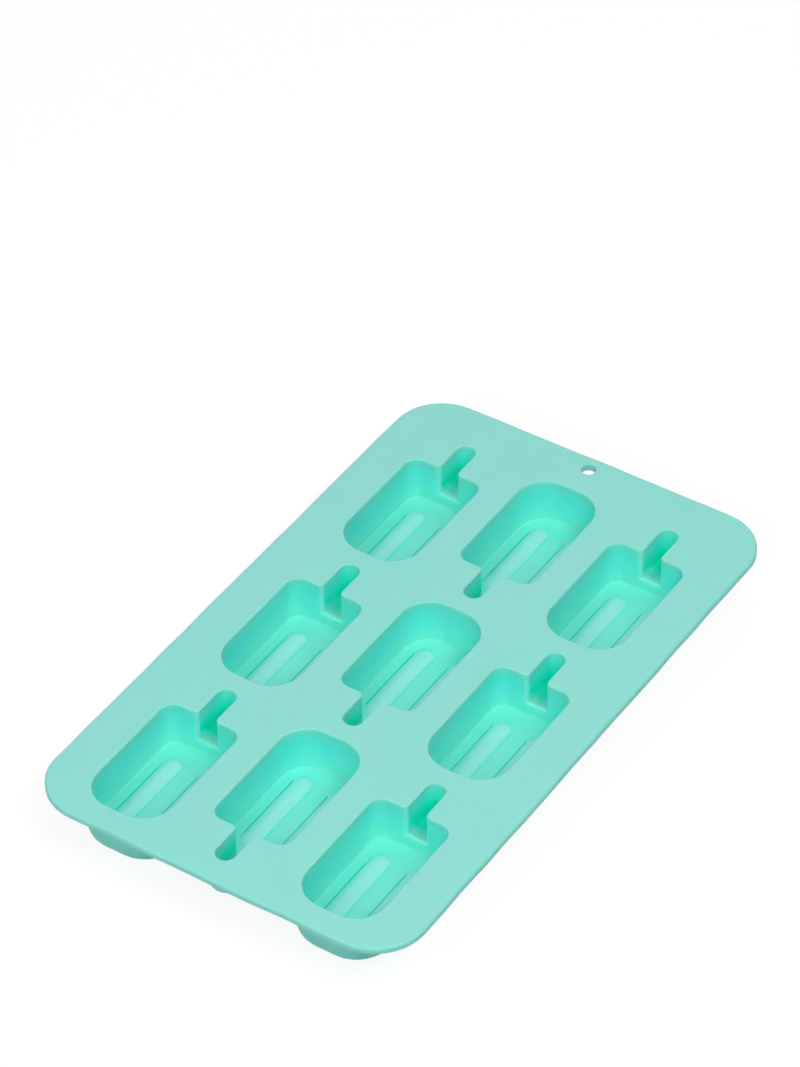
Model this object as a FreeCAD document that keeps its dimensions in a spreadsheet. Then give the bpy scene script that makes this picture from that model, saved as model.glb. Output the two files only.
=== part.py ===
import FreeCAD, Part
import math
import os

import Sketcher

# One soft moulded tray: a flat flange with nine cups hanging below it, each cup shaped
# like a flat ice pop with a channel for its stick. It rests on the cups' undersides.
# The origin is on the resting plane, under the middle of the flange. X runs across
# the tray, Y along it towards the hanging hole, Z up.

doc = FreeCAD.newDocument("ice_pop_tray")

# Driving sizes in millimetres
SIZES = {
    # flange
    "tray_corner": 24.0,
    "flange_thick": 3.1,
    "flange_round": 1.2,
    "flange_under_round": 0.6,
    "hole_diameter": 6.6,
    "hole_inset": 8.2,
    # flat of the flange between the hollows and beside them
    "column_gap": 14.6,
    "row_gap": 9.2,
    "side_margin": 20.2,
    "near_margin": 11.85,
    "far_margin": 22.85,
    # hollow of one cup
    "pop_width": 36.8,
    "pop_length": 63.5,
    "pop_depth": 22.0,
    "end_radius": 14.0,
    "shoulder_radius": 6.0,
    "rim_round": 0.6,
    "floor_round": 1.0,
    # channel that the stick lies in
    "stick_width": 8.7,
    "stick_length": 18.8,
    "stick_depth": 15.7,
    "mouth_radius": 2.5,
    "ledge_round": 1.5,
    # two half-round ribs on the floor of each cup
    "rib_width": 9.0,
    "rib_height": 3.0,
    "rib_spacing": 17.2,
    "rib_end_gap": 8.0,
    "rib_shoulder_gap": 9.0,
    # soft wall round the hollows
    "wall": 3.0,
    "floor_thick": 2.0,
    "base_round": 5.0,
    "stick_base_round": 3.0,
}

# Sizes that follow from the driving ones
DERIVED = {
    "form_length": "pop_length + stick_length",
    "form_half": "form_length / 2",
    "column_pitch": "pop_width + column_gap",
    "row_pitch": "form_length + row_gap",
    "rows_shift": "(near_margin - far_margin) / 2",
    "tray_width": "3 * pop_width + 2 * column_gap + 2 * side_margin",
    "tray_length": "3 * form_length + 2 * row_gap + near_margin + far_margin",
    "tray_height": "pop_depth + floor_thick",
    "shoulder_y": "pop_length - form_half",
    "rib_radius": "(rib_width * rib_width / 4 + rib_height * rib_height) / (2 * rib_height)",
    "rib_axis_depth": "pop_depth + rib_radius - rib_height",
    "rib_near_y": "rib_end_gap + rib_width / 2 - form_half",
    "rib_far_y": "shoulder_y - rib_shoulder_gap - rib_width / 2",
}

sheet = doc.addObject("Spreadsheet::Sheet", "sizes")
row = 1
for name, value in SIZES.items():
    sheet.set(f"A{row}", name)
    sheet.set(f"B{row}", str(value))
    sheet.setAlias(f"B{row}", name)
    row += 1
for name, formula in DERIVED.items():
    sheet.set(f"A{row}", name)
    sheet.set(f"B{row}", f"={formula}")
    sheet.setAlias(f"B{row}", name)
    row += 1
doc.recompute()


def size(name):
    """A size read from the sheet, in millimetres."""
    return float(getattr(sheet, name))


def bind(target, **formulas):
    """Bind properties of an object to formulas in which a size stands as $name."""
    for prop, formula in formulas.items():
        target.setExpression(prop.replace("__", "."), formula.replace("$", "sizes."))


def origin_plane(body, role):
    """One of the three planes of a body's own origin."""
    return next(f for f in body.Origin.OriginFeatures if f.Role == role)


def sketch_on(body, name, role):
    """A new sketch on one of the body's origin planes."""
    sketch = body.newObject("Sketcher::SketchObject", name)
    sketch.AttachmentSupport = [(origin_plane(body, role), "")]
    sketch.MapMode = "FlatFace"
    return sketch


def dimension(sketch, kind, refs, value, formula):
    """Add one dimension to a sketch and bind it to the sheet."""
    index = sketch.addConstraint(Sketcher.Constraint(kind, *refs, value))
    sketch.setExpression(f"Constraints[{index}]", formula.replace("$", "sizes."))


def from_origin(*point):
    """The references of a dimension that runs from a sketch's origin to a point."""
    return (-1, 1, *point)


def to_origin(*point):
    """The references of a dimension that runs from a point to a sketch's origin."""
    return (*point, -1, 1)


def centre_on_axis(sketch, circle):
    """Keep a circle's or an arc's centre on the sketch's vertical axis."""
    sketch.addConstraint(Sketcher.Constraint("PointOnObject", circle, 3, -2))


def rectangle(sketch, half_width, low, high):
    """A rectangle centred across the Y axis, from low to high along it.

    Each argument is a pair: the formula and its present value."""
    width, y_low, y_high = half_width[1], low[1], high[1]
    corners = [(-width, y_low), (width, y_low), (width, y_high), (-width, y_high)]
    points = [FreeCAD.Vector(x, y, 0) for x, y in corners]
    for i in range(4):
        sketch.addGeometry(Part.LineSegment(points[i], points[(i + 1) % 4]))
    for i in range(4):
        sketch.addConstraint(Sketcher.Constraint("Coincident", i, 2, (i + 1) % 4, 1))
    for i in (0, 2):
        sketch.addConstraint(Sketcher.Constraint("Horizontal", i))
    for i in (1, 3):
        sketch.addConstraint(Sketcher.Constraint("Vertical", i))
    dimension(sketch, "DistanceX", from_origin(0, 2), width, half_width[0])
    dimension(sketch, "DistanceX", to_origin(0, 1), width, half_width[0])
    dimension(sketch, "DistanceY", from_origin(0, 1), y_low, low[0])
    dimension(sketch, "DistanceY", from_origin(2, 1), y_high, high[0])


def slot(sketch, half_width, low, tip):
    """A slot along the Y axis: square at its low end, a half circle at its tip."""
    width, y_low, centre = half_width[1], low[1], tip[1] - half_width[1]
    vector = FreeCAD.Vector
    sketch.addGeometry(Part.LineSegment(vector(-width, centre, 0), vector(-width, y_low, 0)))
    sketch.addGeometry(Part.LineSegment(vector(-width, y_low, 0), vector(width, y_low, 0)))
    sketch.addGeometry(Part.LineSegment(vector(width, y_low, 0), vector(width, centre, 0)))
    circle = Part.Circle(vector(0, centre, 0), vector(0, 0, 1), width)
    sketch.addGeometry(Part.ArcOfCircle(circle, 0, math.pi))
    for join in ((0, 2, 1, 1), (1, 2, 2, 1)):
        sketch.addConstraint(Sketcher.Constraint("Coincident", *join))
    sketch.addConstraint(Sketcher.Constraint("Tangent", 2, 2, 3, 1))
    sketch.addConstraint(Sketcher.Constraint("Tangent", 3, 2, 0, 1))
    sketch.addConstraint(Sketcher.Constraint("Horizontal", 1))
    sketch.addConstraint(Sketcher.Constraint("Vertical", 0))
    centre_on_axis(sketch, 3)
    dimension(sketch, "Radius", (3,), width, half_width[0])
    dimension(sketch, "DistanceY", from_origin(1, 1), y_low, low[0])
    dimension(sketch, "DistanceY", from_origin(3, 3), centre, f"{tip[0]} - ({half_width[0]})")


def evaluated(formula):
    """The pair of a formula and its present value, worked out by the sheet."""
    sheet.set("D1", "=" + formula.replace("$", ""))
    doc.recompute()
    value = float(sheet.get("D1"))
    sheet.clear("D1")
    return formula, value


def pad_down(body, sketch, name, length):
    """Extend a sketch downwards into a solid."""
    feature = body.newObject("PartDesign::Pad", name)
    feature.Profile = sketch
    feature.Reversed = True
    bind(feature, Length=length)
    doc.recompute()
    return feature


def edges_where(shape, test):
    """The names of a shape's edges whose box passes the test."""
    return [f"Edge{i}" for i, edge in enumerate(shape.Edges, 1) if test(edge.BoundBox)]


def fillet(body, base, name, radius, test):
    """Round the edges of the base feature whose box passes the test."""
    edges = edges_where(base.Shape, test)
    if not edges:
        raise RuntimeError(f"{name}: no edge to round")
    feature = body.newObject("PartDesign::Fillet", name)
    feature.Base = (base, edges)
    bind(feature, Radius=radius)
    doc.recompute()
    return feature


# Lengths closer than this count as equal when an edge is picked
CLOSE = 0.01


def is_upright(box):
    """Whether an edge stands straight up."""
    return box.ZLength > 1 and box.XLength < CLOSE and box.YLength < CLOSE


def at_height(box, height):
    """Whether an edge lies level at this height."""
    return abs(box.ZMin - height) < CLOSE and abs(box.ZMax - height) < CLOSE


def make_pop_form():
    """The hollow of one cup: the shape of the ice pop with its stick.

    Its own origin is on the flange's top face, halfway along the pop and the stick."""
    body = doc.addObject("PartDesign::Body", "pop_form")
    shoulder_y = size("shoulder_y")

    plan = sketch_on(body, "pop_plan", "XY_Plane")
    rectangle(
        plan,
        evaluated("$pop_width / 2"),
        evaluated("-$form_half"),
        evaluated("$shoulder_y"),
    )
    block = pad_down(body, plan, "pop_block", "$pop_depth")
    rounded_end = fillet(
        body, block, "round_end", "$end_radius", lambda b: is_upright(b) and b.YMax < 0
    )
    shoulders = fillet(
        body,
        rounded_end,
        "round_shoulders",
        "$shoulder_radius",
        lambda b: is_upright(b) and abs(b.YMax - shoulder_y) < CLOSE,
    )
    floor_depth = -size("pop_depth")
    fillet(body, shoulders, "floor_edge", "$floor_round", lambda b: at_height(b, floor_depth))

    bar_plan = sketch_on(body, "stick_plan", "XY_Plane")
    slot(
        bar_plan,
        evaluated("$stick_width / 2"),
        evaluated("$shoulder_y - $ledge_round"),
        evaluated("$form_half"),
    )
    bar = pad_down(body, bar_plan, "stick_bar", "$stick_depth + $ledge_round")
    half_stick = size("stick_width") / 2
    mouth = fillet(
        body,
        bar,
        "round_mouth",
        "$mouth_radius",
        lambda b: is_upright(b)
        and abs(b.YMax - shoulder_y) < CLOSE
        and abs(abs(b.XMax) - half_stick) < CLOSE,
    )

    # the channel's floor ends in a rounded ledge above the cup's floor
    ledge = sketch_on(body, "ledge_profile", "YZ_Plane")
    ledge_profile(ledge)
    under = body.newObject("PartDesign::Pocket", "under_stick")
    under.Profile = ledge
    under.Type = "Length"
    under.Midplane = True
    bind(under, Length="$pop_width")
    doc.recompute()
    if under.Shape.Volume > mouth.Shape.Volume - 1:
        raise RuntimeError("the ledge pocket cuts nothing")

    # each rib is a round bar sunk below the floor, with a ball at either end
    for side in (-1, 1):
        across = f"{side} * $rib_spacing / 2"
        rib = body.newObject("PartDesign::SubtractiveCylinder", "rib_bar")
        rib.AttachmentSupport = [(origin_plane(body, "XZ_Plane"), "")]
        rib.MapMode = "FlatFace"
        bind(
            rib,
            Radius="$rib_radius",
            Height="$rib_far_y - $rib_near_y",
            AttachmentOffset__Base__x=across,
            AttachmentOffset__Base__y="-$rib_axis_depth",
            AttachmentOffset__Base__z="-$rib_far_y",
        )
        doc.recompute()
        for place in ("$rib_near_y", "$rib_far_y"):
            ball = body.newObject("PartDesign::SubtractiveSphere", "rib_ball")
            ball.AttachmentSupport = [(origin_plane(body, "XY_Plane"), "")]
            ball.MapMode = "FlatFace"
            bind(
                ball,
                Radius="$rib_radius",
                AttachmentOffset__Base__x=across,
                AttachmentOffset__Base__y=place,
                AttachmentOffset__Base__z="-$rib_axis_depth",
            )
            doc.recompute()
    return body


def ledge_profile(sketch):
    """What stays solid under the stick channel, seen from the side.

    The arc rounds the ledge over from the cup's wall to the channel's floor."""
    wall_y = size("shoulder_y")
    depth = size("stick_depth")
    radius = size("ledge_round")
    far = size("form_half") + radius
    low = -depth - 2 * radius
    vector = FreeCAD.Vector
    circle = Part.Circle(vector(wall_y + radius, -depth - radius, 0), vector(0, 0, 1), radius)
    sketch.addGeometry(Part.ArcOfCircle(circle, math.pi / 2, math.pi))
    sketch.addGeometry(
        Part.LineSegment(vector(wall_y, -depth - radius, 0), vector(wall_y, low, 0))
    )
    sketch.addGeometry(Part.LineSegment(vector(wall_y, low, 0), vector(far, low, 0)))
    sketch.addGeometry(Part.LineSegment(vector(far, low, 0), vector(far, -depth, 0)))
    sketch.addGeometry(
        Part.LineSegment(vector(far, -depth, 0), vector(wall_y + radius, -depth, 0))
    )
    for join in ((1, 2, 2, 1), (2, 2, 3, 1), (3, 2, 4, 1)):
        sketch.addConstraint(Sketcher.Constraint("Coincident", *join))
    sketch.addConstraint(Sketcher.Constraint("Tangent", 0, 2, 1, 1))
    sketch.addConstraint(Sketcher.Constraint("Tangent", 4, 2, 0, 1))
    for i in (2, 4):
        sketch.addConstraint(Sketcher.Constraint("Horizontal", i))
    for i in (1, 3):
        sketch.addConstraint(Sketcher.Constraint("Vertical", i))
    dimension(sketch, "Radius", (0,), radius, "$ledge_round")
    dimension(sketch, "DistanceX", from_origin(1, 1), wall_y, "$shoulder_y")
    dimension(sketch, "DistanceY", to_origin(4, 1), depth, "$stick_depth")
    dimension(sketch, "DistanceX", from_origin(3, 1), far, "$form_half + $ledge_round")
    dimension(sketch, "DistanceY", to_origin(2, 1), -low, "$stick_depth + 2 * $ledge_round")


def make_cup_shell():
    """The outside of one cup: the same plan grown by the wall, deeper by the floor."""
    body = doc.addObject("PartDesign::Body", "cup_shell")
    outer_shoulder = size("shoulder_y") + size("wall")
    cup_low = -size("tray_height")
    stick_low = -size("stick_depth") - size("floor_thick")

    plan = sketch_on(body, "cup_plan", "XY_Plane")
    rectangle(
        plan,
        evaluated("$pop_width / 2 + $wall"),
        evaluated("-$form_half - $wall"),
        evaluated("$shoulder_y + $wall"),
    )
    bind(plan, AttachmentOffset__Base__z="-$flange_thick / 2")
    block = pad_down(body, plan, "cup_block", "$tray_height - $flange_thick / 2")
    rounded_end = fillet(
        body, block, "cup_end", "$end_radius + $wall", lambda b: is_upright(b) and b.YMax < 0
    )
    shoulders = fillet(
        body,
        rounded_end,
        "cup_shoulders",
        "$shoulder_radius + $wall",
        lambda b: is_upright(b) and abs(b.YMax - outer_shoulder) < CLOSE,
    )
    based = fillet(
        body, shoulders, "cup_base", "$base_round", lambda b: at_height(b, cup_low)
    )

    bar_plan = sketch_on(body, "channel_plan", "XY_Plane")
    slot(
        bar_plan,
        evaluated("$stick_width / 2 + $wall"),
        evaluated("$shoulder_y - $wall"),
        evaluated("$form_half + $wall"),
    )
    bind(bar_plan, AttachmentOffset__Base__z="-$flange_thick / 2")
    bar = pad_down(
        body,
        bar_plan,
        "channel_block",
        "$stick_depth + $floor_thick - $flange_thick / 2",
    )
    body.Tip = fillet(
        body,
        bar,
        "channel_base",
        "$stick_base_round",
        lambda b: at_height(b, stick_low) and b.YMax > outer_shoulder + CLOSE,
    )
    doc.recompute()
    return body


def make_flange():
    """The flange: a thin plate with rounded corners, softened edges and a hanging hole."""
    body = doc.addObject("PartDesign::Body", "flange")
    top = size("tray_height")
    under = top - size("flange_thick")

    plan = sketch_on(body, "flange_plan", "XY_Plane")
    rectangle(
        plan,
        evaluated("$tray_width / 2"),
        evaluated("-$tray_length / 2"),
        evaluated("$tray_length / 2"),
    )
    bind(plan, AttachmentOffset__Base__z="$tray_height")
    plate = pad_down(body, plan, "flange_plate", "$flange_thick")
    cornered = fillet(body, plate, "flange_corners", "$tray_corner", is_upright)
    softened = fillet(
        body, cornered, "flange_top_edge", "$flange_round", lambda b: at_height(b, top)
    )
    undersoft = fillet(
        body,
        softened,
        "flange_under_edge",
        "$flange_under_round",
        lambda b: at_height(b, under),
    )

    hole_plan = sketch_on(body, "hole_plan", "XY_Plane")
    radius = size("hole_diameter") / 2
    centre_y = size("tray_length") / 2 - size("hole_inset")
    hole_plan.addGeometry(
        Part.Circle(FreeCAD.Vector(0, centre_y, 0), FreeCAD.Vector(0, 0, 1), radius)
    )
    centre_on_axis(hole_plan, 0)
    dimension(hole_plan, "Diameter", (0,), 2 * radius, "$hole_diameter")
    dimension(
        hole_plan, "DistanceY", from_origin(0, 3), centre_y, "$tray_length / 2 - $hole_inset"
    )
    hole = body.newObject("PartDesign::Pocket", "hanging_hole")
    hole.Profile = hole_plan
    hole.Type = "ThroughAll"
    hole.Midplane = True
    doc.recompute()
    if hole.Shape.Volume > undersoft.Shape.Volume - 1:
        raise RuntimeError("the hanging hole cuts nothing")
    body.Tip = hole
    return body


def place_nine(source, name, height):
    """Links to one shape in three columns of three, the middle column turned end for end."""
    links = []
    for column in (-1, 0, 1):
        for line in (-1, 0, 1):
            link = doc.addObject("App::Link", f"{name}_{column + 2}{line + 2}")
            link.LinkedObject = source
            link.LinkTransform = True
            turn = 180 if column == 0 else 0
            link.Placement.Rotation = FreeCAD.Rotation(FreeCAD.Vector(0, 0, 1), turn)
            bind(
                link,
                Placement__Base__x=f"{column} * $column_pitch",
                Placement__Base__y=f"{line} * $row_pitch + $rows_shift",
                Placement__Base__z=height,
            )
            links.append(link)
    return links


flange = make_flange()
cup_shell = make_cup_shell()
pop_form = make_pop_form()

blank = doc.addObject("Part::MultiFuse", "tray_blank")
blank.Shapes = [flange] + place_nine(cup_shell, "shell", "$tray_height")
hollows = doc.addObject("Part::Compound", "hollows")
hollows.Links = place_nine(pop_form, "hollow", "$tray_height")
hollowed = doc.addObject("Part::Cut", "hollowed_tray")
hollowed.Base = blank
hollowed.Tool = hollows
doc.recompute()

# The tray itself: the hollowed blank with the cups' rims softened
tray = doc.addObject("PartDesign::Body", "ice_pop_tray")
tray.Label = "ice_pop_tray"
tray.BaseFeature = hollowed
doc.recompute()


def is_cup_rim(box):
    """Whether an edge lies on the flange's top within the field of nine hollows."""
    half_width = size("column_pitch") + size("pop_width") / 2 + CLOSE
    low_y = size("rows_shift") - size("row_pitch") - size("form_half") - CLOSE
    high_y = size("rows_shift") + size("row_pitch") + size("form_half") + CLOSE
    across = -half_width < box.XMin and box.XMax < half_width
    along = low_y < box.YMin and box.YMax < high_y
    return at_height(box, size("tray_height")) and across and along


tray.Tip = fillet(tray, tray.Tip, "cup_rims", "$rim_round", is_cup_rim)
doc.recompute()

for item in doc.Objects:
    if "Invalid" in item.State or "Error" in item.State:
        raise RuntimeError(f"{item.Name} failed: {item.State}")
shape = tray.Shape
if shape.isNull() or not shape.isValid() or len(shape.Solids) != 1:
    raise RuntimeError("the tray is not one valid solid")

os.makedirs("parts", exist_ok=True)
shape.exportStep(f"parts/{tray.Label}.step")
print(tray.Label, "volume", round(shape.Volume), "box", shape.BoundBox)
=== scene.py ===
# %% [markdown]
# # A soft tray for nine ice pops
#
# This lesson dresses one moulded part: a flat tray of mint green silicone with nine cups.
# Each cup has the shape of a flat ice pop with a channel for its stick, and two low ribs on
# its floor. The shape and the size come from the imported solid, apart from two things: the
# ribs are made lower here, and the flange ripples a little. What Blender adds beside that is
# how the silicone looks: its smooth skin, the way light soaks into it, and a plain white
# studio round it.

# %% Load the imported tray
import math

import bpy
import bmesh
import numpy as np
from mathutils import Matrix, Vector


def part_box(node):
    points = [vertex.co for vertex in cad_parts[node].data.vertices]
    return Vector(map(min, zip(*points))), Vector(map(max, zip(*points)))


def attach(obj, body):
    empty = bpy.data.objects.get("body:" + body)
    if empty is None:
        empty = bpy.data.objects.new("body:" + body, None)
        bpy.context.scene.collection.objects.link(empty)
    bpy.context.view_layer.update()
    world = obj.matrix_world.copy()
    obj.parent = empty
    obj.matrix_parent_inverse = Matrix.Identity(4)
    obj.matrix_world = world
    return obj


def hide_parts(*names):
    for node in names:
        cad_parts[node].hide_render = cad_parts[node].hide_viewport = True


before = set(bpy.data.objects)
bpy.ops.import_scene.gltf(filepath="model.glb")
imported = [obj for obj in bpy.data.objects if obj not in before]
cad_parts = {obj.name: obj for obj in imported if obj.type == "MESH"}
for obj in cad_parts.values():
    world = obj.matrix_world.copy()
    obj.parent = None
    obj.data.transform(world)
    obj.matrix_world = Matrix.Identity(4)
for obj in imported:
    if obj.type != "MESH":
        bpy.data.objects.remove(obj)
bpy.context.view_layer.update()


# %% [markdown]
# ## The camera
#
# The camera was fitted to the outlines of the tray and its cups in the photograph. With the
# tray taken as 300 mm long, it looks down from the near right, about two metres away, with
# a long lens, so that parallel edges hardly draw together. A camera needs three things: a
# place, a direction and a lens. Here the place is found by walking back from a point on the
# tray, and the direction is written as an azimuth, an elevation and a small roll. That way
# the numbers can be read as a photographer would say them.

# %% Camera
FRAME_WIDTH = 800
FRAME_HEIGHT = 1067
SENSOR_MM = 36.0


def camera_at(target, azimuth, elevation, roll, distance, focal_px):
    """A camera that looks at the target from a distance along the given angles.

    The line of sight is the unit vector whose level part points along the azimuth, which
    runs from +Y towards -X, and whose upward part is minus the sine of the elevation.
    Right and up are square to it, turned by the roll. The lens in millimetres is the focal
    length in pixels times the sensor's width over the longer side of the picture."""
    az, el, ro = (math.radians(angle) for angle in (azimuth, elevation, roll))
    ahead = Vector((-math.cos(el) * math.sin(az), math.cos(el) * math.cos(az), -math.sin(el)))
    level_right = ahead.cross(Vector((0, 0, 1))).normalized()
    level_up = level_right.cross(ahead)
    right = level_right * math.cos(ro) + level_up * math.sin(ro)
    up = right.cross(ahead)
    turn = Matrix((right, up, -ahead)).transposed().to_4x4()
    data = bpy.data.cameras.new("camera")
    data.sensor_width = SENSOR_MM
    data.lens = focal_px / max(FRAME_WIDTH, FRAME_HEIGHT) * SENSOR_MM
    camera = bpy.data.objects.new("camera", data)
    camera.matrix_world = Matrix.Translation(target - ahead * distance) @ turn
    bpy.context.scene.collection.objects.link(camera)
    bpy.context.scene.camera = camera
    return camera


camera = camera_at(
    target=Vector((-0.0463, 0.0628, 0.024)),
    azimuth=33.995,
    elevation=41.608,
    roll=-1.036,
    distance=1.9835,
    focal_px=4629.7,
)
camera_place = [round(v, 3) for v in camera.matrix_world.translation]
print("camera stands at", camera_place, "lens", round(camera.data.lens, 1))

# %% [markdown]
# ## The tray's skin
#
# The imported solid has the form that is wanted, but its mesh keeps many points more than
# once, and smooth shading breaks where two copies meet. The tray could be modelled again
# from nothing, but then it might drift from the solid that is tested. So this step reads
# the solid's corners as one array and joins the ones that lie on each other. It also counts
# the open edges. A closed mesh has none, because each edge is run along once in either
# direction.

# %% Join the corners
MERGE_STEP = 1e-5


def joined_triangles(solid):
    """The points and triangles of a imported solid, with each point kept once.

    Every coordinate is divided by the merge step and rounded to a whole number. Rows of
    three equal whole numbers are the same point."""
    mesh = solid.data
    points = np.empty(len(mesh.vertices) * 3)
    mesh.vertices.foreach_get("co", points)
    corners = np.empty(len(mesh.polygons) * 3, dtype=np.int64)
    mesh.loops.foreach_get("vertex_index", corners)
    points = points.reshape(-1, 3)
    keys = np.round(points / MERGE_STEP).astype(np.int64)
    first, label = np.unique(keys, axis=0, return_index=True, return_inverse=True)[1:]
    triangles = label.reshape(-1)[corners].reshape(-1, 3)
    a, b, c = triangles.T
    return points[first], triangles[(a != b) & (b != c) & (c != a)]


def open_edges(triangles):
    """How many edges lack a partner that runs the other way."""
    starts, ends = triangles.reshape(-1), np.roll(triangles, -1, axis=1).reshape(-1)
    count = int(triangles.max()) + 1
    return int(np.setxor1d(starts * count + ends, ends * count + starts).size)


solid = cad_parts["ice_pop_tray"]
skin_points, skin_triangles = joined_triangles(solid)
print("joined", len(skin_points), "points,", len(skin_triangles), "triangles")
print("open edges", open_edges(skin_triangles))

# %% [markdown]
# ## One cup's own frame
#
# All nine cups are alike, so whatever is worked out for one holds for all. A place on the
# tray is folded into the frame of its own cup: the cup's middle is taken away, and in the
# middle column, where the cups are turned end for end, both signs change. The measures
# here are those of the solid, from the cup's middle and from the plane the tray rests on.

# %% Fold into one cup
COLUMN_PITCH = 0.0514
ROW_PITCH = 0.0915
ROWS_SHIFT = -0.0055
POP_HALF_WIDTH = 0.0184
FORM_HALF = 0.04115
SHOULDER_Y = 0.02235
FLOOR_Z = 0.002
CHANNEL_HALF_WIDTH = 0.00435
CHANNEL_FLOOR_Z = 0.0083
RIB_SPACING = 0.0172


def in_one_cup(x, y):
    """A place folded into the frame of its own cup."""
    column = np.clip(np.round(x / COLUMN_PITCH), -1, 1)
    line = np.clip(np.round((y - ROWS_SHIFT) / ROW_PITCH), -1, 1)
    turn = np.where(column == 0, -1, 1)
    return turn * (x - column * COLUMN_PITCH), turn * (y - ROWS_SHIFT - line * ROW_PITCH)


# %% [markdown]
# ## Cuts across the long faces
#
# The flange and the cups' walls are plain faces, so their triangles are long, and a long
# triangle can neither bend nor carry a colour that changes along it. Planes cut the mesh,
# upright ones at an even spacing and level ones at a few heights. Each cut leaves new
# corners on the faces without changing the form. Two more upright planes run along each
# rib, just outside its left foot and its right foot. The painted shade line at the foot
# ends there.

# %% Cut the long faces
CUT_SPACING = 0.0075
CUT_HEIGHTS = (0.0045, 0.012, 0.020)
CUT_SNAP = 1e-6
# Planes that end the painted shade line at each rib's foot, to its left and to its right
LEFT_CREASE_END = -0.0054
RIGHT_CREASE_END = 0.0048
CREASE_PLACES = [
    column * COLUMN_PITCH + side * RIB_SPACING / 2 + crease_end
    for column in (-1, 0, 1)
    for side in (-1, 1)
    for crease_end in (LEFT_CREASE_END, RIGHT_CREASE_END)
]


def cut_mesh(name, points, triangles, half_width, half_length):
    """A mesh of the triangles, cut by planes at an even spacing across X and across Y,
    by the planes beside the ribs, and by level planes at the given heights."""
    mesh = bpy.data.meshes.new(name)
    mesh.from_pydata(points.tolist(), [], triangles.tolist())
    work = bmesh.new()
    work.from_mesh(mesh)
    across, along = (
        np.linspace(-half, half, round(2 * half / CUT_SPACING) + 1)[1:-1]
        for half in (half_width, half_length)
    )
    for normal, places in (
        (Vector((1, 0, 0)), across.tolist() + CREASE_PLACES),
        (Vector((0, 1, 0)), along.tolist()),
        (Vector((0, 0, 1)), CUT_HEIGHTS),
    ):
        for place in places:
            everything = work.verts[:] + work.edges[:] + work.faces[:]
            bmesh.ops.bisect_plane(
                work, geom=everything, dist=CUT_SNAP, plane_co=normal * place, plane_no=normal
            )
    bmesh.ops.triangulate(work, faces=[face for face in work.faces if len(face.verts) > 4])
    work.to_mesh(mesh)
    work.free()
    return mesh


low, high = (np.array(corner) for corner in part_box("ice_pop_tray"))
half_width, half_length = (high[:2] - low[:2]) / 2
top_z = float(high[2])
tray_mesh = cut_mesh("silicone_tray", skin_points, skin_triangles, half_width, half_length)
print("after the cuts", len(tray_mesh.vertices), "points,", len(tray_mesh.polygons), "faces")


def get_points(mesh):
    """The mesh's points as an array of rows x, y, z."""
    points = np.empty(len(mesh.vertices) * 3)
    mesh.vertices.foreach_get("co", points)
    return points.reshape(-1, 3)


def smooth_step(low_end, high_end, value):
    """Nought below the low end, one above the high end, and 3t² - 2t³ between them, where
    t is the share of the way from one to the other."""
    t = np.clip((value - low_end) / (high_end - low_end), 0, 1)
    return t * t * (3 - 2 * t)


# %% [markdown]
# ## The ribs' crowns
#
# Two ribs run along each cup's floor and leave two grooves in the frozen pop. The packed
# solid has them 3 mm high. In the photograph they look lower, with a shallow round crown
# and a crisp crease on either side. Their height can't be measured there, so 1.9 mm was
# chosen. The points of each rib already lie in the right places seen from above, so only
# their heights are worked out again, from how far each one is from the rib's middle line.

# %% Shape the ribs
RIB_HALF_WIDTH = 0.0045
RIB_NEAR_Y = -0.02865
RIB_FAR_Y = 0.00885
RIB_OLD_TOP_Z = 0.005
RIB_RISE = 0.0019

# A point this near to a limit counts as inside it, and one this far above the floor as off it
ON_LINE = 0.00005
OFF_FLOOR = 0.00002


def from_rib_line(x, y):
    """How far a place is from the middle line of the nearer rib of its cup.

    Beside the line that is the step across, and past its ends the straight distance to
    the end point."""
    across, along = in_one_cup(x, y)
    aside = abs(across) - RIB_SPACING / 2
    past = along - np.clip(along, RIB_NEAR_Y, RIB_FAR_Y)
    return np.hypot(aside, past)


def rib_height(distance):
    """The rib's height over the floor: a shallow arc of a circle. Its radius is the half
    width squared plus the rise squared, over twice the rise."""
    radius = (RIB_HALF_WIDTH**2 + RIB_RISE**2) / (2 * RIB_RISE)
    reach = np.clip(distance, 0, RIB_HALF_WIDTH)
    return np.sqrt(radius**2 - reach**2) - (radius - RIB_RISE)


def on_ribs(points):
    """Which points lie on a rib, over the floor inside a cup."""
    x, y, z = points.T
    in_reach = from_rib_line(x, y) < RIB_HALF_WIDTH + ON_LINE
    return in_reach & (z > FLOOR_Z + OFF_FLOOR) & (z < RIB_OLD_TOP_Z + ON_LINE)


tray_points = get_points(tray_mesh)
rib_points = on_ribs(tray_points)
rib_distance = from_rib_line(tray_points[:, 0], tray_points[:, 1])
tray_points[rib_points, 2] = FLOOR_Z + rib_height(rib_distance[rib_points])
tray_mesh.vertices.foreach_set("co", tray_points.reshape(-1))
rib_top_mm = round(float(tray_points[rib_points, 2].max()) * 1000, 2)
print("points on the ribs", int(rib_points.sum()), "highest", rib_top_mm, "mm")

# %% [markdown]
# ## A soft flange
#
# Silicone this thin seldom lies quite flat, and in the photograph the flange ripples a
# little. Here it dips in slow waves, and its edges draw in, both by less than half a
# millimetre, an amount that was chosen. Both are smooth functions of place, so they are
# worked out for all points at once. They only ever take points inwards and downwards, and
# so the tray stays inside the box of its solid.

# %% Ripple the flange
DIP_DEPTH = 0.0004
EDGE_DRAW = 0.00045
DIP_WAVES = ((0.117, 0.031, 0.4), (0.061, -0.083, 2.1), (-0.043, 0.149, 4.0))
EDGE_WAVES = ((0.094, 0.9), (0.041, 2.6), (0.027, 4.4))
SIDE_SHIFT = 0.3
END_SHIFT = 0.7
FADE_DEPTHS = (0.012, 0.004)
FADE_INSETS = (0.014, 0.002)


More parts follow.
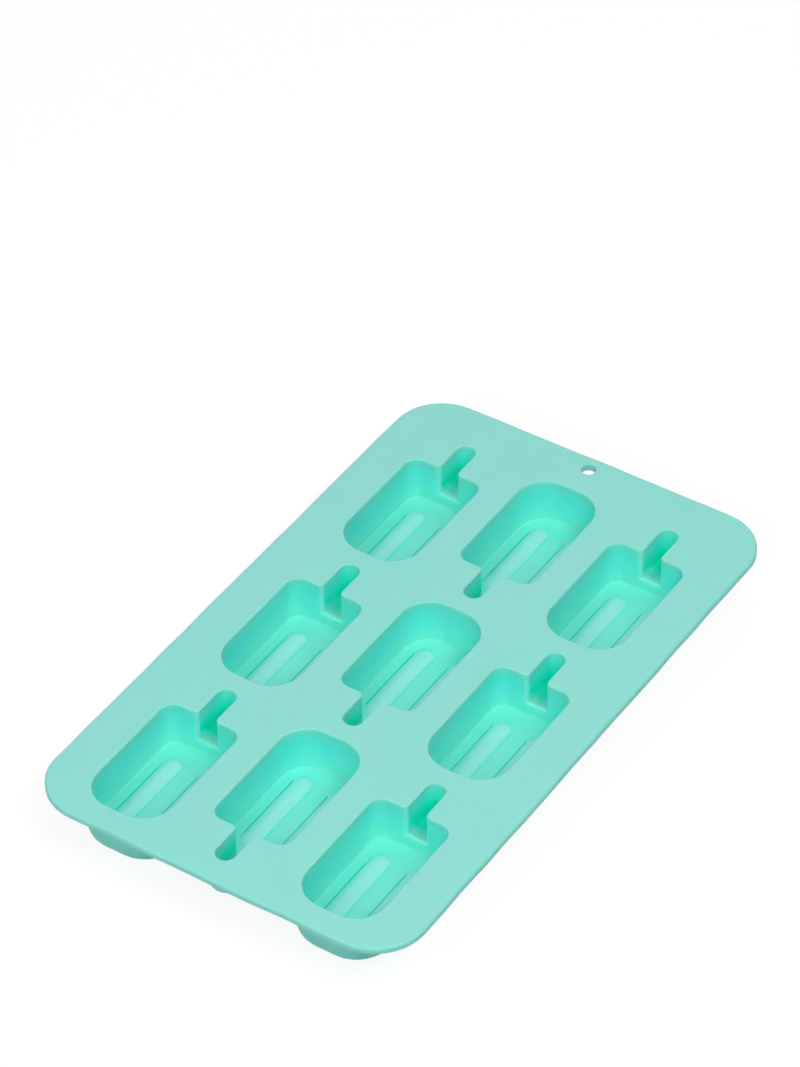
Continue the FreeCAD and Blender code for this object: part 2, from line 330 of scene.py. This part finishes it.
def dip(x, y):
    """How far the flange dips at a place, between nought and one.

    Half the mean of three slow sine waves, each with its own lengths across and along,
    moved up by a half so that it is never negative."""
    waves = [
        np.sin(2 * np.pi * (x / across + y / along) + start) for across, along, start in DIP_WAVES
    ]
    return 0.5 + np.mean(waves, axis=0) / 2


def draw(along):
    """How far an edge draws in at a place along it, between nought and one."""
    waves = [np.sin(2 * np.pi * along / length + start) for length, start in EDGE_WAVES]
    return 0.5 + np.mean(waves, axis=0) / 2


def soften(mesh):
    """Move the points of the flange down by the dip and its edges in by the draw.

    Both fade to nothing 12 mm below the top, so the cups' floors stay where they are, and
    the draw also fades to nothing 14 mm in from the edge. The shifts give opposite edges
    different waves."""
    points = get_points(mesh)
    x, y, z = points.T
    near_top = smooth_step(*(top_z - depth for depth in FADE_DEPTHS), z)
    side = smooth_step(*(half_width - inset for inset in FADE_INSETS), abs(x))
    end = smooth_step(*(half_length - inset for inset in FADE_INSETS), abs(y))
    moved = points.copy()
    side_draw = draw(y + SIDE_SHIFT * np.sign(x))
    end_draw = draw(x + END_SHIFT * np.sign(y))
    moved[:, 0] -= np.sign(x) * EDGE_DRAW * side_draw * side * near_top
    moved[:, 1] -= np.sign(y) * EDGE_DRAW * end_draw * end * near_top
    moved[:, 2] -= DIP_DEPTH * dip(x, y) * near_top
    mesh.vertices.foreach_set("co", moved.reshape(-1))
    return float(abs(moved - points).max())


print("the flange moves by up to", round(soften(tray_mesh) * 1000, 2), "mm")

# %% [markdown]
# ## Where the colour is deep and where it is pale
#
# The real tray is most likely one colour of silicone all through. In the photograph it
# looks pale on the open flange and along the ribs' crowns, deeper on the cups' walls, and
# deepest in the narrow stick channels, because of the light and of what one wall throws on
# the next. The lamps here give only part of that difference, so the rest is put into the
# colour: one number for each point, called `paleness`, which the material reads. The
# values were tried out until the render came near the photograph. The dark line at the
# left foot of each rib and the weaker one at its right foot are painted shade too, and the
# pale front of each ledge is painted light. They stay where they are when the light moves,
# which a shadow would not.

# %% Paleness of each point
# Paleness values paint light and shade into one colour: pale where light falls, deeper in shade
PALE_OPEN = 0.7
PALE_UNDER = 0.5
PALE_WALL = 0.3
PALE_FLOOR = 0.4
PALE_CROWN = 0.95
PALE_LEFT_CREASE = -0.05
PALE_RIGHT_CREASE = 0.12
PALE_CHANNEL = 0.14
PALE_LEDGE = 0.7

# Spans over which one value turns into the next, as depths below the top in metres
UNDER_SPAN = (0.0025, 0.006)
RIM_SPAN = (0.0002, 0.0015)
DEEP_SPAN = (0.012, 0.0215)
CHANNEL_SPAN = (0.0025, 0.009)

# The ledge's span runs along the channel, and the crown's last part fades to the foot
LEDGE_SPAN = (0, 0.008)
CROWN_FADE = 0.0008

# How near a point has to be to count as on a face, on a line or on the ledge
FACE_SLACK = 0.0002
LINE_SLACK = 0.0001
LEDGE_SLACK = 0.0004


def blend(start, end, share):
    """A value that goes from start to end as the share goes from nought to one."""
    return start + (end - start) * share


def paleness(x, y, z):
    """How pale the colour is painted at a place, in place of light and shade: even on the
    flange, less under it, and inside a hollow from the wall's value to the floor's, with the
    painted light of the ribs' crowns and the ledge, and the painted shade of the creases and
    the channel's depth. The crease shade is painted along the ribs' straight feet only."""
    across, along = in_one_cup(x, y)
    depth = top_z - z
    slack = FACE_SLACK

    in_pop = (abs(across) < POP_HALF_WIDTH + slack) & (z > FLOOR_Z - slack)
    in_pop &= (along > -FORM_HALF - slack) & (along < SHOULDER_Y + slack)
    in_channel = (abs(across) < CHANNEL_HALF_WIDTH + slack) & (z > CHANNEL_FLOOR_Z - slack)
    in_channel &= (along > SHOULDER_Y) & (along < FORM_HALF + slack)

    # Painted light on the open flange, painted shade under it and down the hollows' walls
    outside = blend(PALE_OPEN, PALE_UNDER, smooth_step(*UNDER_SPAN, depth))
    inside = blend(PALE_OPEN, PALE_WALL, smooth_step(*RIM_SPAN, depth))
    inside = blend(inside, PALE_FLOOR, smooth_step(*DEEP_SPAN, depth))

    from_line = from_rib_line(x, y)
    # Painted light along each rib's crown, fading towards its foot
    crown = 1 - smooth_step(RIB_HALF_WIDTH - CROWN_FADE, RIB_HALF_WIDTH, from_line)
    crown = crown * (z < FLOOR_Z + RIB_RISE + slack) * (z > FLOOR_Z + LINE_SLACK)
    inside = blend(inside, PALE_CROWN, crown)

    # Painted shade: a dark line along each rib's straight foot, darker on its left side
    foot = (abs(from_line - RIB_HALF_WIDTH) < LINE_SLACK) & (z < FLOOR_Z + LINE_SLACK)
    foot &= (along > RIB_NEAR_Y - LINE_SLACK) & (along < RIB_FAR_Y + LINE_SLACK)
    on_left = from_rib_line(x - LINE_SLACK, y) > from_line
    crease = np.where(on_left, PALE_LEFT_CREASE, PALE_RIGHT_CREASE)
    inside = np.where(foot, crease, inside)

    # Painted shade, deeper down each stick channel
    inside = blend(inside, PALE_CHANNEL, smooth_step(*CHANNEL_SPAN, depth) * in_channel)
    # Painted light on the front of each ledge, fading into the channel
    on_ledge = in_channel & (abs(z - CHANNEL_FLOOR_Z) < LEDGE_SLACK)
    ledge = blend(PALE_LEDGE, PALE_CHANNEL, smooth_step(*LEDGE_SPAN, along - SHOULDER_Y))
    inside = np.where(on_ledge, ledge, inside)
    return np.where(in_pop | in_channel, inside, outside)


pale = paleness(*get_points(tray_mesh).T)
tray_mesh.attributes.new("paleness", "FLOAT", "POINT").data.foreach_set("value", pale)
print("paleness from", round(float(pale.min()), 2), "to", round(float(pale.max()), 2))

# %% [markdown]
# ## Smooth shading and sharp edges
#
# Smooth shading lets the light run over the rounded rims as it does over rubber. Edges that
# turn by more than 45 degrees are marked sharp. They lie round the hanging hole, along the
# channels' floors, where the outer walls meet the flange, and where each channel's outer
# wall meets its cup's. Nearly all of the ribs' straight feet turn by 43 to 46 degrees, so
# only about a third of their length is sharp, and hardly any of their round ends is. The
# crease there is drawn mostly by painted shade in the colour. The Weighted Normal
# modifier then lets the large flat faces decide the direction of the light on them, so
# the flats stay flat.

# %% The tray as a piece
SHARP_DEGREES = 45.0
FLAT_WEIGHT = 80

tray = bpy.data.objects.new("silicone_tray", tray_mesh)
bpy.context.scene.collection.objects.link(tray)
tray_mesh.polygons.foreach_set("use_smooth", np.ones(len(tray_mesh.polygons), dtype=bool))
tray_mesh.set_sharp_from_angle(angle=math.radians(SHARP_DEGREES))
weighted = tray.modifiers.new("even_flats", "WEIGHTED_NORMAL")
weighted.keep_sharp = True
weighted.weight = FLAT_WEIGHT
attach(tray, "root")
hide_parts("ice_pop_tray")
print("sharp edges", sum(edge.use_edge_sharp for edge in tray_mesh.edges))

# %% [markdown]
# ## Silicone
#
# Silicone is neither paint nor glass. Light goes a little way into it, scatters and comes
# out coloured. The Principled shader's subsurface part does this, and here green and blue
# light go further than red. The face itself is satin: a soft, broad gloss. A slow noise
# makes the colour a little uneven, and a fine one gives the roughness and the bump the
# faint grain of the mould.
#
# Six colours are set for six values of paleness, and so paint light and shade into the one
# silicone: for the creases, the channels, the walls, the floors, the open flange with the
# ledges, and the ribs' crowns. Values between them get a mixture. The colours were tried
# out against the photograph too.

# %% Silicone material
# Colours for values of paleness: painted shade at the low end, painted light at the high end
TINTS = (
    (0.0, (0.002, 0.56, 0.40)),
    (0.15, (0.002, 0.90, 0.71)),
    (0.3, (0.17, 0.98, 0.86)),
    (0.4, (0.23, 0.90, 0.78)),
    (0.7, (0.34, 0.98, 0.82)),
    (0.95, (0.40, 0.99, 0.88)),
)
SKIN_ROUGHNESS = 0.5
SKIN_IOR = 1.41
SCATTER_RADIUS = (0.3, 1.0, 0.8)
SCATTER_SCALE = 0.0012
NOISE_SPAN = (0.3, 0.7)
CLOUD_SCALE = 35
CLOUD_SPREAD = 0.03
GRAIN_SCALE = 1400
GRAIN_SPREAD = 0.05
GRAIN_STRENGTH = 0.25
GRAIN_DEPTH = 0.00005


def noise(nodes, links, place, scale, detail):
    """A noise texture that reads the object's own coordinates."""
    texture = nodes.new("ShaderNodeTexNoise")
    texture.inputs["Scale"].default_value = scale
    texture.inputs["Detail"].default_value = detail
    links.new(place.outputs["Object"], texture.inputs["Vector"])
    return texture


def spread(nodes, links, source, low_value, high_value):
    """Map the middle part of a noise onto a span of values."""
    span = nodes.new("ShaderNodeMapRange")
    span.inputs["From Min"].default_value = NOISE_SPAN[0]
    span.inputs["From Max"].default_value = NOISE_SPAN[1]
    span.inputs["To Min"].default_value = low_value
    span.inputs["To Max"].default_value = high_value
    links.new(source, span.inputs["Value"])
    return span.outputs["Result"]


def silicone():
    """Satin silicone: colour from paleness, which paints light and shade, and from a slow
    noise; grain from a fine noise.
    """
    material = bpy.data.materials.new("mint_silicone")
    material.use_nodes = True
    nodes, links = material.node_tree.nodes, material.node_tree.links
    skin = nodes["Principled BSDF"]
    skin.inputs["Subsurface Weight"].default_value = 1.0
    skin.inputs["Subsurface Radius"].default_value = SCATTER_RADIUS
    skin.inputs["Subsurface Scale"].default_value = SCATTER_SCALE
    skin.inputs["IOR"].default_value = SKIN_IOR
    place = nodes.new("ShaderNodeTexCoord")

    pale_number = nodes.new("ShaderNodeAttribute")
    pale_number.attribute_name = "paleness"
    tint = nodes.new("ShaderNodeValToRGB")
    for number, (pale_value, colour) in enumerate(TINTS):
        stops = tint.color_ramp.elements
        stop = stops[number] if number < 2 else stops.new(pale_value)
        stop.position = pale_value
        stop.color = (*colour, 1)
    uneven = nodes.new("ShaderNodeMath")
    uneven.operation = "ADD"
    cloudy = noise(nodes, links, place, scale=CLOUD_SCALE, detail=3)
    cloud_step = spread(nodes, links, cloudy.outputs["Fac"], -CLOUD_SPREAD, CLOUD_SPREAD)
    links.new(pale_number.outputs["Fac"], uneven.inputs[0])
    links.new(cloud_step, uneven.inputs[1])
    links.new(uneven.outputs["Value"], tint.inputs["Fac"])
    links.new(tint.outputs["Color"], skin.inputs["Base Color"])

    grain = noise(nodes, links, place, scale=GRAIN_SCALE, detail=2)
    low_end, high_end = SKIN_ROUGHNESS - GRAIN_SPREAD, SKIN_ROUGHNESS + GRAIN_SPREAD
    grainy = spread(nodes, links, grain.outputs["Fac"], low_end, high_end)
    links.new(grainy, skin.inputs["Roughness"])
    bump = nodes.new("ShaderNodeBump")
    bump.inputs["Strength"].default_value = GRAIN_STRENGTH
    bump.inputs["Distance"].default_value = GRAIN_DEPTH
    links.new(grain.outputs["Fac"], bump.inputs["Height"])
    links.new(bump.outputs["Normal"], skin.inputs["Normal"])
    return material


tray_mesh.materials.append(silicone())
print("materials", [material.name for material in tray_mesh.materials])

# %% [markdown]
# ## The studio floor
#
# A photographer lays a sheet of white paper on the table and lets it curve up behind the
# object, so that no edge of a floor shows. The sheet is one profile, a level line, a
# quarter circle and an upright line, carried straight across. To the camera it is white
# with a faint soft shadow, and to the tray it is a matt surface that sends half of the
# light back.

# %% Paper sheet
PAPER_HALF_WIDTH = 3.0
PAPER_FRONT = 2.5
PAPER_BACK = 2.2
PAPER_RADIUS = 0.6
PAPER_RISE = 0.6
PAPER_GAP = 0.0002
PAPER_BOUNCE = 0.5
PAPER_GLOW = 0.87
PAPER_SHADE = 0.2
BEND_POINTS = 25
ACROSS_POINTS = 13


def paper_sheet():
    """A sheet swept across X: level at first, then a quarter circle, then upright.

    The first parameter runs along the profile and the second across it. On the quarter
    circle the profile is the centre plus the radius times (sine, minus cosine) of an
    angle that runs from nought to a right angle."""
    angle = np.linspace(0, np.pi / 2, BEND_POINTS)
    bend_along = PAPER_BACK + PAPER_RADIUS * np.sin(angle)
    bend_up = PAPER_RADIUS * (1 - np.cos(angle))
    along = np.concatenate(([-PAPER_FRONT], bend_along, [PAPER_BACK + PAPER_RADIUS]))
    up = np.concatenate(([0], bend_up, [PAPER_RADIUS + PAPER_RISE])) - PAPER_GAP
    across = np.linspace(-PAPER_HALF_WIDTH, PAPER_HALF_WIDTH, ACROSS_POINTS)
    x, y = np.meshgrid(across, along)
    z = np.repeat(up[:, None], len(across), axis=1)
    points = np.stack([x, y, z], axis=-1).reshape(-1, 3)
    index = np.arange(len(points)).reshape(x.shape)
    corners = [index[:-1, :-1], index[:-1, 1:], index[1:, 1:], index[1:, :-1]]
    faces = np.stack(corners, axis=-1).reshape(-1, 4)
    mesh = bpy.data.meshes.new("paper_sheet")
    mesh.from_pydata(points.tolist(), [], faces.tolist())
    mesh.polygons.foreach_set("use_smooth", np.ones(len(mesh.polygons), dtype=bool))
    return mesh


def seen_directly(nodes, links):
    """One for rays from the camera and for mirrored or refracted ones, nought for the rest."""
    path = nodes.new("ShaderNodeLightPath")
    either = nodes.new("ShaderNodeMath")
    either.operation = "MAXIMUM"
    links.new(path.outputs["Is Camera Ray"], either.inputs[0])
    links.new(path.outputs["Is Glossy Ray"], either.inputs[1])
    any_of_three = nodes.new("ShaderNodeMath")
    any_of_three.operation = "MAXIMUM"
    links.new(either.outputs["Value"], any_of_three.inputs[0])
    links.new(path.outputs["Is Transmission Ray"], any_of_three.inputs[1])
    return any_of_three.outputs["Value"]


def paper():
    """White paper: a matt surface for the light it sends on, and for rays that see it
    directly a white glow with a little matt shade on top, which keeps the tray's soft
    shadow."""
    material = bpy.data.materials.new("white_paper")
    material.use_nodes = True
    nodes, links = material.node_tree.nodes, material.node_tree.links
    nodes.clear()
    out = nodes.new("ShaderNodeOutputMaterial")
    matt = nodes.new("ShaderNodeBsdfDiffuse")
    matt.inputs["Color"].default_value = (PAPER_BOUNCE, PAPER_BOUNCE, PAPER_BOUNCE, 1)
    shade = nodes.new("ShaderNodeBsdfDiffuse")
    shade.inputs["Color"].default_value = (PAPER_SHADE, PAPER_SHADE, PAPER_SHADE, 1)
    glow = nodes.new("ShaderNodeEmission")
    glow.inputs["Color"].default_value = (1, 1, 1, 1)
    glow.inputs["Strength"].default_value = PAPER_GLOW
    both = nodes.new("ShaderNodeAddShader")
    choose = nodes.new("ShaderNodeMixShader")
    links.new(shade.outputs[0], both.inputs[0])
    links.new(glow.outputs[0], both.inputs[1])
    links.new(seen_directly(nodes, links), choose.inputs["Fac"])
    links.new(matt.outputs[0], choose.inputs[1])
    links.new(both.outputs[0], choose.inputs[2])
    links.new(choose.outputs[0], out.inputs["Surface"])
    return material


floor = bpy.data.objects.new("paper_sheet", paper_sheet())
floor.data.materials.append(paper())
bpy.context.scene.collection.objects.link(floor)
print("paper sheet of", len(floor.data.polygons), "faces")

# %% [markdown]
# ## Light
#
# The shadows in the photograph are soft and weak, so the lamps are large. The main
# softbox hangs high on the right and lights the cups' left walls. A low one in front lights
# the near edge, a third stands at the back and gives the flange its pale gloss, and a weak
# one on the left keeps that side from going dark. The sky fills in the rest. Each lamp is a
# disk with a stated radiance: its power is that times its area times pi. Their places and
# strengths were tried out against the photograph. The shares printed here add up to about
# three quarters, a plain level at which a colour renders a little darker than written.

# %% Lamps and sky
SKY_FILL = 0.06

# For each lamp its azimuth, its angle from straight up, its distance, radius and radiance
LAMPS = {
    "main_softbox": (348.0, 32.0, 2.0, 0.5, 7.0),
    "front_softbox": (280.0, 60.0, 2.0, 0.6, 3.3),
    "back_softbox": (124.0, 42.0, 2.0, 0.65, 1.9),
    "left_softbox": (230.0, 50.0, 2.0, 0.6, 1.0),
}


def softbox(name, azimuth, zenith, distance, radius, radiance):
    """A round soft lamp, placed by its azimuth and its angle from straight up, and turned
    towards the tray. Returns its share of the light on the floor: the radiance times the
    sine squared of its angular radius times the cosine of its angle from straight up."""
    az, ze = math.radians(azimuth), math.radians(zenith)
    away = Vector((math.sin(ze) * math.cos(az), math.sin(ze) * math.sin(az), math.cos(ze)))
    lamp = bpy.data.lights.new(name, "AREA")
    lamp.shape = "DISK"
    lamp.size = 2 * radius
    lamp.energy = radiance * math.pi * math.pi * radius ** 2
    box = bpy.data.objects.new(name, lamp)
    turn = away.to_track_quat("Z", "Y").to_matrix().to_4x4()
    box.matrix_world = Matrix.Translation(away * distance) @ turn
    box.visible_camera = False
    bpy.context.scene.collection.objects.link(box)
    return radiance * radius ** 2 / (radius ** 2 + distance ** 2) * math.cos(ze)


shares = {name: softbox(name, *values) for name, values in LAMPS.items()}
rounded_shares = {name: round(share, 3) for name, share in shares.items()}
print("shares of the light", rounded_shares, "sky", SKY_FILL)
print("all together", round(sum(shares.values()) + SKY_FILL, 3))

sky = bpy.data.worlds.new("studio_sky")
bpy.context.scene.world = sky
sky.use_nodes = True
sky_nodes, sky_links = sky.node_tree.nodes, sky.node_tree.links
strength = sky_nodes.new("ShaderNodeMapRange")
strength.inputs["To Min"].default_value = SKY_FILL
strength.inputs["To Max"].default_value = 1.0
sky_links.new(seen_directly(sky_nodes, sky_links), strength.inputs["Value"])
sky_links.new(strength.outputs["Result"], sky_nodes["Background"].inputs["Strength"])
sky_nodes["Background"].inputs["Color"].default_value = (1, 1, 1, 1)

# %% [markdown]
# ## Finish
#
# The Standard view shows colours as they are, with no film look on top.

# %% Finish
bpy.context.scene.view_settings.view_transform = "Standard"
